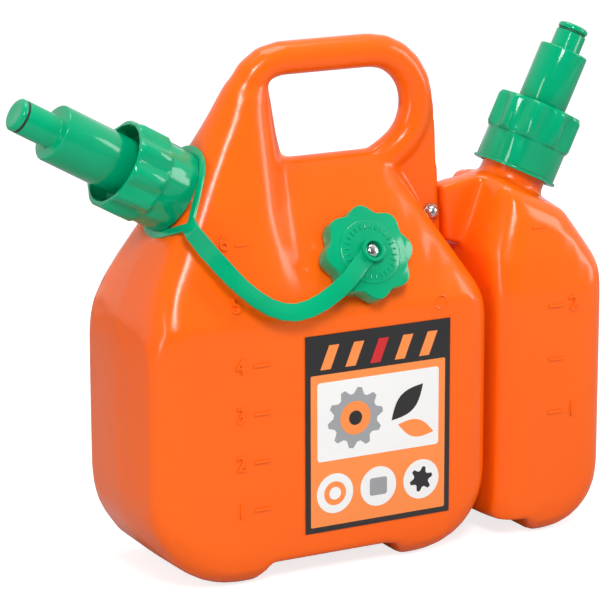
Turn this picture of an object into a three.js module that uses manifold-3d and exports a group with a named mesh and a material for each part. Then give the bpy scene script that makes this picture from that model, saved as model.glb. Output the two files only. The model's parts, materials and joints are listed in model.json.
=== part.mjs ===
// Combination fuel can: a large fuel can and a small oil can, blow moulded, bolted side by side.
// Millimetres, +Z up. X runs along the pair, Y through its depth, the mould parting plane is Y = 0.
import * as THREE from 'three';
import { mergeVertices } from 'three/addons/utils/BufferGeometryUtils.js';
import Module from 'manifold-3d';

const wasm = await Module();
wasm.setup();

// Sizes shared by both cans
const canDepth = 120.4;
const wall = 2.4;
const edgeRadius = 19;
const draftAngle = THREE.MathUtils.degToRad(2.4);
const footHeight = 14;
const footFlank = 9;
const seatGap = 0.3;

// Large can outline
const largeWidth = 265;
const largeCornerLeft = 68;
const largeCornerRight = 56;
const leftShoulderHeight = 192;
const leftShoulderAngle = THREE.MathUtils.degToRad(59);
const leftShoulderRadius = 120;
const rightShoulderHeight = 180;
const rightShoulderAngle = THREE.MathUtils.degToRad(60);
const rightShoulderRadius = 50;
const ridgeHeight = 282;
const ridgeHalfDepth = 9;
const roofBreakHeight = 184;
const leftFootWidth = 12;
const rightFootWidth = 14;

// Handle
const handleHeight = 362;
const gripRadius = 11.9;
const gripInset = 1.2;
const gripHoleLeft = -17;
const gripHoleFoot = -7;
const gripHoleFillet = 7;
const gripBendX = 62;
const gripBendRadius = 38.5;
const gripCornerRadius = 32;
const gripEndAngle = THREE.MathUtils.degToRad(-60);
const gripEndLength = 24;
const legTopHeight = 340;
const legPower = 1.25;
const panelCrease = -35;
const panelValley = -10;

// Small can outline
const canGap = 0.5;
const smallWidth = 95;
const smallCornerLeft = 26;
const smallCornerRight = 47;
const smallLeftShoulder = 206;
const smallRightShoulder = 190;
const smallRightAngle = THREE.MathUtils.degToRad(57);
const smallShoulderRadius = 34;
const smallBreakHeight = 178;
const smallTopHalfDepth = 40;
const smallFootWidth = 10;
const smallFootFlank = 10;

// Necks, one thread size for both cans and the cap
const neckRadius = 24.5;
const neckBore = 20.5;
const neckHeight = 22.5;
const fuelNeckAngle = THREE.MathUtils.degToRad(29.3);
const fuelNeckRise = 87;
const fuelSeatRecess = 2.5;
const fuelSeatRadius = 34;
const oilNeckAngle = THREE.MathUtils.degToRad(63.9);
const oilSeatX = 178;
const oilSeatHeight = 245.8;
const oilNutLift = 11.2;
const threadTurns = 2;
const threadPitch = 5;
const threadDepth = 1.0;

// Web and tongue that join the cans
const webHalfThickness = 5;
const webTopHeight = 311;
const webFootHeight = 190;
const webEdgeFoot = 122.2;
const webEdgeTop = 113.4;
const tongueHalfThickness = 9;
const tongueFoot = 211;
const tongueTop = 251;
const lugThickness = 6;
const lugRadius = 5.8;
const boltX = 110;
const boltHeight = 232.5;
const boltRadius = 3;
const boltClearance = 0.35;
const boltHeadRadius = 5.4;
const boltHeadHeight = 4.2;
const washerRadius = 6.1;
const washerThickness = 1.5;
const nutAcrossFlats = 9.6;
const nutThickness = 5;

// Clamping nuts of the spouts
const nutLength = 48;
const nutSkirtShare = 0.45;
const nutSkirtRadius = 29.2;
const nutLobeRadius = 32.3;
const nutLobeDepth = 3;
const nutLobes = 10;
const nutWall = 3;
const nutCupDepth = 14;
const nutLedgeBore = 21;
const flangeThickness = 2.6;
const gasketThickness = 1.5;
const threadClearance = 0.7;

// Spout tubes: fuel then oil, radii of the wide sleeve and narrow tip, ends measured from the nut foot
const fuelSpout = { sleeve: 19.7, tip: 11.4, sleeveEnd: 98.6, tipEnd: 128.8, sealDepth: 0.05 };
const oilSpout = { sleeve: 17.6, tip: 10.9, sleeveEnd: 90.6, tipEnd: 109.6, sealDepth: 0.9 };
const tubeWall = 1.8;
const sleeveTravel = 12;
const tipDiscHeight = 4;
const tipDomeHeight = 1.6;
const tipSealThickness = 1.2;
const stemRadius = 4;
const guideTubeGap = 1.6;
const springWire = 0.8;
const springTurns = 4;
const airTubeRadius = 3;
const airTubeLength = 34;
const airTubeOffset = 15;

// Cap, parked on a stub on the sloping front
const capX = 31.7;
const capSeatHeight = 215.7;
const capStubHeight = 12;
const capStandOff = 3.5;
const capRadius = 33;
const capLobes = 8;
const capFluteDepth = 4.4;
const capTop = 2.6;
const capPlateauRadius = 22.5;
const capPlateauHeight = 1;

// Tether of the cap
const tetherWidth = 12;
const tetherSag = 35;
const tetherBulge = 10;
const tetherThickness = 2;
const tetherLoopRadius = 28.6;
const tetherLoopWidth = 5.2;
const tetherForkReach = 41;
const tetherForkLip = 8;
const seatClearance = 0.8;
const tetherForkAngle = THREE.MathUtils.degToRad(-22);
const tetherEyeRadius = 8.2;
const tetherCollarHeight = 3.4;
const rivetRadius = 2.4;
const rivetHeadRadius = 5.2;
const rivetHeadHeight = 2.6;

// Label on the flat front of the large can
const labelLeft = -19.4;
const labelRight = 93.8;
const labelFoot = 31.6;
const labelTop = 170.7;
const labelThickness = 0.4;

// Fineness of round faces
const roundSegments = 24;
const smallSegments = 16;
const outerEdge = [0, 0.04, 0.2, 0.5, 1];
const innerEdge = [0, 0.2, 1];

const orange = '#fb6a1c';
const green = '#00a870';
const black = '#17181a';
const steel = '#b9bcc0';

// Signed volume decides which way the faces point.
function signedVolume(positions, index) {
  const a = new THREE.Vector3();
  const b = new THREE.Vector3();
  const c = new THREE.Vector3();
  let volume = 0;
  for (let i = 0; i < index.length; i += 3) {
    a.fromArray(positions, index[i] * 3);
    b.fromArray(positions, index[i + 1] * 3);
    c.fromArray(positions, index[i + 2] * 3);
    volume += a.dot(b.cross(c)) / 6;
  }
  return volume;
}

// A closed mesh with its shared vertices merged becomes a solid that can be joined and cut.
function solid(geometry) {
  const bare = geometry.clone();
  bare.deleteAttribute('normal');
  bare.deleteAttribute('uv');
  const merged = mergeVertices(bare, 1e-4);
  const positions = merged.attributes.position.array;
  const kept = [];
  const source = merged.index.array;
  for (let i = 0; i < source.length; i += 3) {
    const [a, b, c] = [source[i], source[i + 1], source[i + 2]];
    if (a !== b && b !== c && a !== c) kept.push(a, b, c);
  }
  const outward = signedVolume(positions, kept) > 0;
  for (let i = 0; !outward && i < kept.length; i += 3) {
    [kept[i], kept[i + 1]] = [kept[i + 1], kept[i]];
  }
  return new wasm.Manifold(new wasm.Mesh({
    numProp: 3,
    vertProperties: new Float32Array(positions),
    triVerts: new Uint32Array(kept),
  }));
}

function join(...solids) {
  return solids.reduce((sum, next) => sum.add(next));
}

function cut(body, ...tools) {
  return tools.reduce((rest, tool) => rest.subtract(tool), body);
}

function geometryOf(body) {
  const mesh = body.getMesh();
  const geometry = new THREE.BufferGeometry();
  geometry.setAttribute('position', new THREE.BufferAttribute(new Float32Array(mesh.vertProperties), 3));
  geometry.setIndex(new THREE.BufferAttribute(new Uint32Array(mesh.triVerts), 1));
  geometry.computeVertexNormals();
  return geometry;
}

// Local axes, named by what they carry: `axis` is where the piece points, `front` is kept towards -Y.
function placement(origin, axis) {
  const up = axis.clone().normalize();
  const front = new THREE.Vector3(0, -1, 0).addScaledVector(up, up.y).normalize();
  const side = new THREE.Vector3().crossVectors(up, front);
  return new THREE.Matrix4().makeBasis(front, side, up).setPosition(origin);
}

function moved(geometry, matrix) {
  return geometry.clone().applyMatrix4(matrix);
}

// Revolve of [radius, height] pairs about +Z; the profile closes on itself or on the axis.
function revolve(profile, segments = roundSegments) {
  const points = profile.map(([radius, height]) => new THREE.Vector2(radius, height));
  if (profile[0][0] > 0) points.push(points[0].clone());
  return new THREE.LatheGeometry(points, segments).rotateX(Math.PI / 2);
}

function disc(radius, foot, top, segments = roundSegments) {
  return revolve([[0, foot], [radius, foot], [radius, top], [0, top]], segments);
}

function ring(inner, outer, foot, top, segments = roundSegments) {
  return revolve([[inner, foot], [outer, foot], [outer, top], [inner, top]], segments);
}

// Plate of an outline in the XZ plane, from depth `front` to depth `back` along Y.
function plateXZ(outline, front, back) {
  const shape = new THREE.Shape(outline.map(([x, z]) => new THREE.Vector2(x, z)));
  const plate = new THREE.ExtrudeGeometry(shape, { depth: back - front, bevelEnabled: false });
  return plate.rotateX(Math.PI / 2).translate(0, back, 0);
}

function plateXY(shape, foot, top, curveSegments = 1) {
  const options = { depth: top - foot, bevelEnabled: false, curveSegments };
  return new THREE.ExtrudeGeometry(shape, options).translate(0, 0, foot);
}

const smooth = (value, low, high) => THREE.MathUtils.smoothstep(value, low, high);

// Outline corners {x, z, r} moved inwards by `inset`, each fillet keeping its centre.
function insetCorners(corners, inset) {
  const count = corners.length;
  const lines = corners.map((corner, i) => {
    const next = corners[(i + 1) % count];
    const along = new THREE.Vector2(next.x - corner.x, next.z - corner.z).normalize();
    const inward = new THREE.Vector2(-along.y, along.x);
    return { point: new THREE.Vector2(corner.x, corner.z).addScaledVector(inward, inset), along };
  });
  return corners.map((corner, i) => {
    const before = lines[(i + count - 1) % count];
    const after = lines[i];
    const turn = before.along.cross(after.along);
    const apart = after.point.clone().sub(before.point);
    const at = before.point.clone().addScaledVector(before.along, apart.cross(after.along) / turn);
    return { x: at.x, z: at.y, r: Math.max(corner.r - Math.sign(turn) * inset, 1) };
  });
}

// Closed outline with a fillet arc at each corner, as points in the XZ plane, counterclockwise.
function filletedOutline(corners, arcSteps = 7) {
  const count = corners.length;
  const points = [];
  corners.forEach((corner, i) => {
    const at = new THREE.Vector2(corner.x, corner.z);
    const previous = corners[(i + count - 1) % count];
    const next = corners[(i + 1) % count];
    const back = new THREE.Vector2(previous.x, previous.z).sub(at).normalize();
    const ahead = new THREE.Vector2(next.x, next.z).sub(at).normalize();
    const half = Math.acos(THREE.MathUtils.clamp(back.dot(ahead), -1, 1)) / 2;
    const tangent = corner.r / Math.tan(half);
    const bisector = back.clone().add(ahead).normalize();
    const centre = at.clone().addScaledVector(bisector, corner.r / Math.sin(half));
    const from = at.clone().addScaledVector(back, tangent).sub(centre);
    const to = at.clone().addScaledVector(ahead, tangent).sub(centre);
    const sweep = Math.atan2(from.cross(to), from.dot(to));
    for (let k = 0; k <= arcSteps; k += 1) {
      const turned = from.clone().rotateAround(new THREE.Vector2(), sweep * k / arcSteps);
      points.push(turned.add(centre));
    }
  });
  return points;
}

// Distance from a point to the outline, and how far the nearest side faces down.
function outlineDistance(outline, x, z) {
  const at = new THREE.Vector2(x, z);
  let distance = Infinity;
  let downward = 0;
  outline.forEach((start, i) => {
    const end = outline[(i + 1) % outline.length];
    const along = end.clone().sub(start);
    const length = along.length();
    if (length < 1e-6) return;
    along.divideScalar(length);
    const t = THREE.MathUtils.clamp(at.clone().sub(start).dot(along), 0, length);
    const gap = start.clone().addScaledVector(along, t).distanceTo(at);
    if (gap < distance - 1e-9) {
      distance = gap;
      downward = Math.max(0, along.x);
    }
  });
  return { distance, downward };
}

// Lowest and highest outline point above a given x.
function outlineSpan(outline, x) {
  let low = Infinity;
  let high = -Infinity;
  outline.forEach((a, i) => {
    const b = outline[(i + 1) % outline.length];
    if (x < Math.min(a.x, b.x) - 1e-9 || x > Math.max(a.x, b.x) + 1e-9) return;
    const share = Math.abs(b.x - a.x) < 1e-9 ? 0 : (x - a.x) / (b.x - a.x);
    const reach = [a.y + (b.y - a.y) * share];
    if (Math.abs(b.x - a.x) < 1e-9) reach.push(b.y);
    low = Math.min(low, ...reach);
    high = Math.max(high, ...reach);
  });
  return { low, high };
}

// Half depth of a moulded body: drafted side wall, round edge, then the flat or sloping front.
function skinDepth(can, inset, x, z) {
  const { distance, downward } = outlineDistance(can.outline, x, z);
  const front = can.frontDepth(x, z) - inset;
  const radius = Math.min(edgeRadius - inset, front * 0.98);
  const wallDepth = front - radius;
  const drafted = wallDepth * Math.tan(draftAngle) * (1 - downward);
  if (distance < drafted) return wallDepth * distance / drafted;
  const into = Math.min(distance - drafted, radius);
  return wallDepth + Math.sqrt(Math.max(0, radius ** 2 - (radius - into) ** 2));
}

// Moulded body as a loft of upright sections, one at each x, mirrored about the parting plane.
function mouldedBody(can, inset) {
  const corners = insetCorners(can.corners, inset);
  const outline = filletedOutline(corners);
  const shape = { outline, frontDepth: can.frontDepth };
  const left = Math.min(...outline.map((p) => p.x));
  const right = Math.max(...outline.map((p) => p.x));
  const spaced = can.stations.filter((x, i) => !inset || i % 2 === 0);
  const stations = spaced.map((x) => THREE.MathUtils.clamp(x, left, right));
  stations.unshift(left);
  stations.push(right);
  const columns = [...new Set(stations.map((x) => Math.round(x * 1000) / 1000))].sort((a, b) => a - b);
  const edge = (inset ? innerEdge : outerEdge).map((share) => share * edgeRadius * 1.15);
  const rows = edge.length * 2 + can.levels.length;
  const ringSize = rows * 2 + 2;
  const vertices = [];
  columns.forEach((x) => {
    const { low, high } = outlineSpan(outline, x);
    const foot = Math.min(Math.max(low, can.footLine(x, inset)), high);
    const half = (high - foot) / 2;
    const heights = [];
    edge.forEach((step) => heights.push(foot + Math.min(step, half * 0.8 * step / edge.at(-1))));
    can.levels.forEach((level) => {
      heights.push(THREE.MathUtils.clamp(level, heights.at(-1), high - Math.min(edge.at(-1), half * 0.8)));
    });
    [...edge].reverse().forEach((step) => heights.push(high - Math.min(step, half * 0.8 * step / edge.at(-1))));
    const depths = heights.map((z) => skinDepth(shape, inset, x, z));
    const section = [[0, foot], ...heights.map((z, k) => [-depths[k], z]), [0, high]];
    [...heights].reverse().forEach((z, k) => section.push([depths[rows - 1 - k], z]));
    section.forEach(([y, z]) => vertices.push(x, y, z));
  });
  const index = [];
  for (let c = 0; c + 1 < columns.length; c += 1) {
    for (let k = 0; k < ringSize; k += 1) {
      const a = c * ringSize + k;
      const b = c * ringSize + (k + 1) % ringSize;
      index.push(a, b, b + ringSize, a, b + ringSize, a + ringSize);
    }
  }
  [0, (columns.length - 1) * ringSize].forEach((base) => {
    for (let k = 1; k + 1 < ringSize; k += 1) {
      if (base) index.push(base, base + k, base + k + 1);
      else index.push(base, base + k + 1, base + k);
    }
  });
  const geometry = new THREE.BufferGeometry();
  geometry.setAttribute('position', new THREE.BufferAttribute(new Float32Array(vertices), 3));
  geometry.setIndex(index);
  return solid(geometry);
}

// Raised floor between two feet: height of the underside at x.
function archLine(x, footEnd, footStart, flank, height, inset) {
  const rise = Math.min((x - footEnd) / flank, (footStart - x) / flank) * height;
  return Math.min(rise, height) + inset;
}

// Large can
const halfWidth = largeWidth / 2;
const halfDepth = canDepth / 2;
const leftSlope = Math.tan(leftShoulderAngle);
const rightSlope = Math.tan(rightShoulderAngle);
const leftShoulderX = (z) => -halfWidth + (z - leftShoulderHeight) / leftSlope;
const rightShoulderX = (z) => halfWidth - (z - rightShoulderHeight) / rightSlope;
const roofSlope = (halfDepth - ridgeHalfDepth) / (ridgeHeight - roofBreakHeight);
const roofAngle = Math.atan(roofSlope);
const roofDepth = (z) => halfDepth - Math.max(0, z - roofBreakHeight) * roofSlope;

function panelDepth(z) {
  const share = THREE.MathUtils.clamp((legTopHeight - z) / (legTopHeight - roofBreakHeight), 0, 1);
  return gripRadius + gripInset + (halfDepth - gripRadius - gripInset) * share ** legPower;
}

const largeCan = {
  corners: [
    { x: -halfWidth, z: 0, r: largeCornerLeft },
    { x: halfWidth, z: 0, r: largeCornerRight },
    { x: halfWidth, z: rightShoulderHeight, r: rightShoulderRadius },
    { x: rightShoulderX(ridgeHeight), z: ridgeHeight, r: 12 },
    { x: gripHoleFoot, z: ridgeHeight, r: gripHoleFillet },
    { x: gripHoleLeft, z: legTopHeight, r: 4 },
    { x: leftShoulderX(legTopHeight), z: legTopHeight, r: 8 },
    { x: -halfWidth, z: leftShoulderHeight, r: leftShoulderRadius },
  ],
  frontDepth: (x, z) => THREE.MathUtils.lerp(
    panelDepth(z),
    Math.max(roofDepth(z), ridgeHalfDepth),
    smooth(x, panelCrease, panelValley),
  ),
  footLine: (x, inset) => archLine(
    x,
    -halfWidth + largeCornerLeft + leftFootWidth - inset,
    halfWidth - largeCornerRight - rightFootWidth + inset,
    footFlank,
    footHeight,
    inset,
  ),
  stations: [
    -131.6, -129.4, -126, -120, -112, -102, -91, -80, -71, -64.5, -56, -52.5, -48, -43.5, -36, -29,
    -23, -19, -15, -11, -7, 0, 22, 44, 54, 58.5, 62.5, 66, 73, 82, 93, 104, 113, 121, 127, 130, 131.6,
  ],
  levels: [110, 172, 184, 200, 226, 254],
};

// Straight and curved stretches of the handle, as one centre line in the parting plane.
function gripLine(footExtra) {
  const middle = handleHeight - gripRadius;
  const inwards = (gripRadius + gripInset) / Math.sin(leftShoulderAngle);
  const cornerX = leftShoulderX(middle) + inwards;
  const reach = gripCornerRadius * Math.tan(leftShoulderAngle / 2);
  const at = (x, z) => new THREE.Vector3(x, 0, z);
  const corner = at(cornerX, middle);
  const rising = at(cornerX - reach * Math.cos(leftShoulderAngle), middle - reach * Math.sin(leftShoulderAngle));
  const foot = at(
    rising.x - footExtra * Math.cos(leftShoulderAngle),
    rising.z - footExtra * Math.sin(leftShoulderAngle),
  );
  const bend = (from, to) => {
    const middleAngle = (from + to) / 2;
    const pull = gripBendRadius / Math.cos((from - to) / 2);
    const on = (angle, radius) => at(
      gripBendX + radius * Math.cos(angle),
      middle - gripBendRadius + radius * Math.sin(angle),
    );
    return new THREE.QuadraticBezierCurve3(on(from, gripBendRadius), on(middleAngle, pull), on(to, gripBendRadius));
  };
  const path = new THREE.CurvePath();
  path.add(new THREE.LineCurve3(foot, rising));
  path.add(new THREE.QuadraticBezierCurve3(rising, corner, at(cornerX + reach, middle)));
  path.add(new THREE.LineCurve3(at(cornerX + reach, middle), at(gripBendX, middle)));
  const quarter = [Math.PI / 2, Math.PI / 4, 0, gripEndAngle / 2, gripEndAngle];
  for (let k = 0; k + 1 < quarter.length; k += 1) path.add(bend(quarter[k], quarter[k + 1]));
  const end = path.getPoint(1);
  const reachIn = at(Math.sin(gripEndAngle), -Math.cos(gripEndAngle)).multiplyScalar(gripEndLength);
  path.add(new THREE.LineCurve3(end, end.clone().add(reachIn)));
  return path;
}

function circleShape(radius, sides) {
  const points = [];
  for (let k = 0; k < sides; k += 1) {
    const angle = 2 * Math.PI * (k + 0.5) / sides;
    points.push(new THREE.Vector2(radius * Math.cos(angle), radius * Math.sin(angle)));
  }
  return new THREE.Shape(points);
}

function tubeAlong(path, radius, sides, steps) {
  const options = { steps, extrudePath: path, bevelEnabled: false, curveSegments: 1 };
  return new THREE.ExtrudeGeometry(circleShape(radius, sides), options);
}

// Free edge of the web, which the tongue of the small can follows
function webEdgeX(z) {
  return THREE.MathUtils.mapLinear(z, webFootHeight, webTopHeight, webEdgeFoot, webEdgeTop);
}

// Where each neck stands and points
const fuelNutLift = seatGap + tetherThickness + seatGap;
const fuelAxis = new THREE.Vector3(-Math.cos(fuelNeckAngle), 0, Math.sin(fuelNeckAngle));
const shoulderStart = new THREE.Vector3(-halfWidth, 0, leftShoulderHeight);
const shoulderAlong = new THREE.Vector3(Math.cos(leftShoulderAngle), 0, Math.sin(leftShoulderAngle));
const fuelSeat = shoulderStart.clone().addScaledVector(shoulderAlong, fuelNeckRise)
  .addScaledVector(fuelAxis, -fuelSeatRecess);
const fuelPlace = placement(fuelSeat, fuelAxis);
const oilAxis = new THREE.Vector3(Math.cos(oilNeckAngle), 0, Math.sin(oilNeckAngle));
const oilSeat = new THREE.Vector3(oilSeatX, 0, oilSeatHeight);
const oilPlace = placement(oilSeat, oilAxis);
const capAxis = new THREE.Vector3(0, -Math.cos(roofAngle), Math.sin(roofAngle));
const capSeat = new THREE.Vector3(capX, -roofDepth(capSeatHeight), capSeatHeight);
const capPlace = placement(capSeat, capAxis);

// Threaded neck: the rings of the thread stand just proud of the tube.
function neck(top, place) {
  const rooted = -8;
  const profile = [[neckBore, rooted], [neckRadius - threadDepth, rooted]];
  const first = top - 3 - threadTurns * threadPitch;
  for (let turn = 0; turn < threadTurns; turn += 1) {
    const foot = first + turn * threadPitch;
    profile.push([neckRadius - threadDepth, foot]);
    profile.push([neckRadius, foot + threadPitch * 0.25]);
    profile.push([neckRadius, foot + threadPitch * 0.4]);
    profile.push([neckRadius - threadDepth, foot + threadPitch * 0.65]);
  }
  profile.push([neckRadius - threadDepth, top], [neckBore, top]);
  return solid(moved(revolve(profile), place));
}

// Hole through the joint, along Y
const boltHole = solid(disc(boltRadius + boltClearance, -canDepth, canDepth, smallSegments)
  .rotateX(Math.PI / 2).translate(boltX, 0, boltHeight));

// Drop-shaped loop round the neck: a circle drawn out to a point where the band starts.
function dropOutline(radius, reach) {
  const spread = Math.acos(radius / reach);
  const points = [];
  const count = 22;
  for (let k = 0; k <= count; k += 1) {
    const angle = spread + (2 * Math.PI - 2 * spread) * k / count;
    points.push(new THREE.Vector2(radius * Math.cos(angle), radius * Math.sin(angle)));
  }
  points.push(new THREE.Vector2(reach, 0));
  return points;
}

const loopPlace = fuelPlace.clone().multiply(new THREE.Matrix4().makeRotationZ(tetherForkAngle));

function loopShape(grown) {
  const radius = tetherLoopRadius + tetherLoopWidth + grown;
  return new THREE.Shape(dropOutline(radius, tetherForkReach + tetherForkLip + grown * 1.5));
}

function makeLargeCan() {
  const outer = mouldedBody(largeCan, 0);
  const inner = mouldedBody(largeCan, wall);
  const grip = solid(tubeAlong(gripLine(26), gripRadius, 16, 22));
  const gripInside = solid(tubeAlong(gripLine(14), gripRadius - wall, 8, 16));
  const web = solid(plateXZ([
    [rightShoulderX(webFootHeight) - 14, webFootHeight],
    [webEdgeX(webFootHeight), webFootHeight],
    [webEdgeX(webTopHeight), webTopHeight],
    [gripBendX + gripBendRadius, webTopHeight],
    [rightShoulderX(ridgeHeight) + 4, ridgeHeight - 12],
  ], -webHalfThickness, webHalfThickness));
  const seatCut = solid(moved(disc(fuelSeatRadius, 0, 3 * neckHeight), fuelPlace));
  const loopCut = solid(moved(plateXY(loopShape(seatClearance), 0, neckHeight), loopPlace));
  const bore = solid(moved(disc(neckBore, -16, neckHeight + fuelNutLift), fuelPlace));
  const stub = solid(moved(ring(neckBore, neckRadius, -wall / 2, capStubHeight), capPlace));
  const shell = join(cut(outer, seatCut, loopCut), grip, web, neck(neckHeight + fuelNutLift - seatGap, fuelPlace), stub);
  return cut(shell, inner, gripInside, bore, boltHole);
}

// Small can
const smallLeft = halfWidth + canGap;
const smallRight = smallLeft + smallWidth;
const oilAcross = new THREE.Vector2(Math.sin(oilNeckAngle), -Math.cos(oilNeckAngle));
const topLeft = new THREE.Vector2(oilSeatX, oilSeatHeight).addScaledVector(oilAcross, -neckRadius - 4);
const topRight = new THREE.Vector2(oilSeatX, oilSeatHeight).addScaledVector(oilAcross, neckRadius + 1);
const smallRightSlope = Math.tan(smallRightAngle);
const smallShoulderFoot = topRight.y - (smallRight - topRight.x) * smallRightSlope;

const smallCan = {
  corners: [
    { x: smallLeft, z: 0, r: smallCornerLeft },
    { x: smallRight, z: 0, r: smallCornerRight },
    { x: smallRight, z: smallShoulderFoot, r: smallShoulderRadius },
    { x: topRight.x, z: topRight.y, r: 10 },
    { x: topLeft.x, z: topLeft.y, r: 6 },
    { x: smallLeft, z: smallLeftShoulder, r: 16 },
  ],
  frontDepth: (x, z) => {
    const share = smooth(z, smallBreakHeight - 10, oilSeatHeight + 40);
    return THREE.MathUtils.lerp(halfDepth, smallTopHalfDepth, share);
  },
  footLine: (x, inset) => archLine(
    x,
    smallLeft - smallFootFlank * 2,
    smallRight - smallCornerRight - smallFootWidth + inset,
    smallFootFlank,
    footHeight,
    inset,
  ),
  stations: [
    134, 136.2, 140, 145, 151, 157, 161, 165.5, 171, 181, 191, 200, 208, 215, 221, 225, 227,
  ],
  levels: [110, 168, 180, 200, 220],
};

function makeSmallCan() {
  const outer = mouldedBody(smallCan, 0);
  const inner = mouldedBody(smallCan, wall);
  const block = solid(plateXZ([
    [webEdgeX(tongueFoot) + canGap, tongueFoot],
    [smallLeft + 4, tongueFoot - 4],
    [topLeft.x + 6, topLeft.y - 12],
    [topLeft.x + 1, topLeft.y - 2],
    [webEdgeX(tongueTop) + canGap, tongueTop],
  ], -tongueHalfThickness, tongueHalfThickness));
  const lugFront = webHalfThickness + seatGap;
  const lugBack = lugFront + lugThickness;
  const lug = join(
    solid(disc(lugRadius, lugFront, lugBack, smallSegments)
      .rotateX(-Math.PI / 2).translate(boltX, 0, boltHeight)),
    solid(plateXZ([
      [boltX, boltHeight - lugRadius],
      [webEdgeX(tongueFoot) + 6, tongueFoot + 3],
      [webEdgeX(tongueTop) + 6, tongueTop - 3],
      [boltX, boltHeight + lugRadius],
    ], lugFront, lugBack)),
  );
  const bore = solid(moved(disc(neckBore, -14, neckHeight + oilNutLift), oilPlace));
  const shell = join(outer, block, lug, neck(neckHeight + oilNutLift - seatGap, oilPlace));
  return cut(shell, inner, bore, boltHole);
}

// Lobed outline: a circle with evenly spaced round flutes.
function lobedShape(radius, depth, lobes, perLobe) {
  const points = [];
  for (let k = 0; k < lobes * perLobe; k += 1) {
    const angle = 2 * Math.PI * k / (lobes * perLobe);
    const wave = 0.5 + 0.5 * Math.cos(lobes * angle);
    const reach = radius - depth * (1 - wave ** 0.8);
    points.push(new THREE.Vector2(reach * Math.cos(angle), reach * Math.sin(angle)));
  }
  return new THREE.Shape(points);
}

// Clamping nut: smooth skirt, lobed grip ring and an open cup round the spout, foot at height 0.
function makeNut() {
  const skirtTop = nutLength * nutSkirtShare;
  const ledge = neckHeight + gasketThickness + flangeThickness + 2 * seatGap;
  const skirt = solid(revolve([[0, 0], [nutSkirtRadius, 0], [nutSkirtRadius, nutLength - 2], [0, nutLength - 2]]));
  const lobed = solid(plateXY(lobedShape(nutLobeRadius, nutLobeDepth, nutLobes, 6), skirtTop, nutLength));
  const bore = solid(disc(neckRadius + threadClearance, -1, ledge - seatGap));
  const throat = solid(disc(nutLedgeBore, 0, nutLength));
  const cup = solid(disc(nutLobeRadius - nutLobeDepth - nutWall / 2, nutLength - nutCupDepth, nutLength + 1));
  return cut(join(skirt, lobed), bore, throat, cup);
}

// Spout pieces, measured along the spout from the foot of the nut
const flangeFoot = neckHeight + gasketThickness + seatGap;
const guideFoot = flangeFoot + flangeThickness;

function makeSpoutBase(spout) {
  const guide = spout.sleeve - tubeWall - guideTubeGap;
  const guideTop = guideFoot + (spout.sleeveEnd - guideFoot) * 0.5;
  return solid(revolve([
    [guide - tubeWall - 4, flangeFoot], [neckRadius - 0.2, flangeFoot], [neckRadius - 0.2, guideFoot],
    [guide, guideFoot], [guide, guideTop], [guide - tubeWall, guideTop],
    [guide - tubeWall, guideFoot], [guide - tubeWall - 4, guideFoot],
  ]));
}

function makeValveStem(spout) {
  const guide = spout.sleeve - tubeWall - guideTubeGap - tubeWall - seatGap;
  const footTop = guideFoot + seatGap + 2.2;
  const discFoot = spout.tipEnd - tipDiscHeight;
  const rim = spout.tip - 0.1;
  const stem = solid(revolve([
    [0, guideFoot + seatGap], [guide, guideFoot + seatGap], [guide, footTop], [stemRadius, footTop],
    [stemRadius, discFoot - 6], [spout.tip - tubeWall - 0.8, discFoot - 1.5],
    [spout.tip - tubeWall - 0.8, discFoot], [rim, discFoot],
    [rim, spout.tipEnd - tipDomeHeight], [rim - 1.1, spout.tipEnd - 0.5], [rim - 2.6, spout.tipEnd],
    [rim - 4.4, spout.tipEnd - 0.2], [0, spout.tipEnd - 0.6],
  ]));
  const holes = [];
  for (let k = 0; k < 4; k += 1) {
    const angle = Math.PI * (k + 0.5) / 2;
    const reach = (stemRadius + guide) / 2 - 0.4;
    holes.push(solid(disc(2.3, guideFoot - 1, footTop + 1, 10)
      .translate(reach * Math.cos(angle), reach * Math.sin(angle), 0)));
  }
  return cut(stem, ...holes);
}

function makeSleeve(spout) {
  const foot = guideFoot + sleeveTravel + 2;
  const sealFoot = spout.tipEnd - tipDiscHeight - seatGap - tipSealThickness - seatGap;
  return solid(revolve([
    [spout.sleeve - tubeWall, foot], [spout.sleeve, foot], [spout.sleeve, spout.sleeveEnd - 0.8],
    [spout.sleeve - 0.8, spout.sleeveEnd], [spout.tip, spout.sleeveEnd], [spout.tip, sealFoot],
    [spout.tip - tubeWall, sealFoot], [spout.tip - tubeWall, spout.sleeveEnd - tubeWall],
    [spout.sleeve - tubeWall, spout.sleeveEnd - tubeWall],
  ]));
}

function makeTipSeal(spout) {
  const foot = spout.tipEnd - tipDiscHeight - seatGap - tipSealThickness;
  return solid(ring(spout.tip - tubeWall, spout.tip - spout.sealDepth, foot, foot + tipSealThickness));
}

// Return spring between the guide tube and the end wall of the sleeve
function makeSpring(spout) {
  const guide = spout.sleeve - tubeWall - guideTubeGap;
  const foot = guideFoot + (spout.sleeveEnd - guideFoot) * 0.5 + seatGap + springWire;
  const top = spout.sleeveEnd - tubeWall - seatGap - springWire;
  const reach = guide - tubeWall / 2;
  class Helix extends THREE.Curve {
    getPoint(t) {
      const angle = 2 * Math.PI * springTurns * t;
      return new THREE.Vector3(reach * Math.cos(angle), reach * Math.sin(angle), foot + (top - foot) * t);
    }
  }
  return solid(tubeAlong(new Helix(), springWire, 4, springTurns * 8));
}

function makeGasket() {
  return solid(ring(neckBore, neckRadius - threadDepth, neckHeight, neckHeight + gasketThickness));
}

function makeAirTube() {
  const top = flangeFoot - seatGap;
  return solid(revolve([
    [airTubeRadius - 1, top - airTubeLength], [airTubeRadius, top - airTubeLength], [airTubeRadius, top - 2],
    [airTubeRadius + 1.2, top - 2], [airTubeRadius + 1.2, top], [airTubeRadius - 1, top],
  ], 12).translate(0, airTubeOffset, 0));
}

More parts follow.
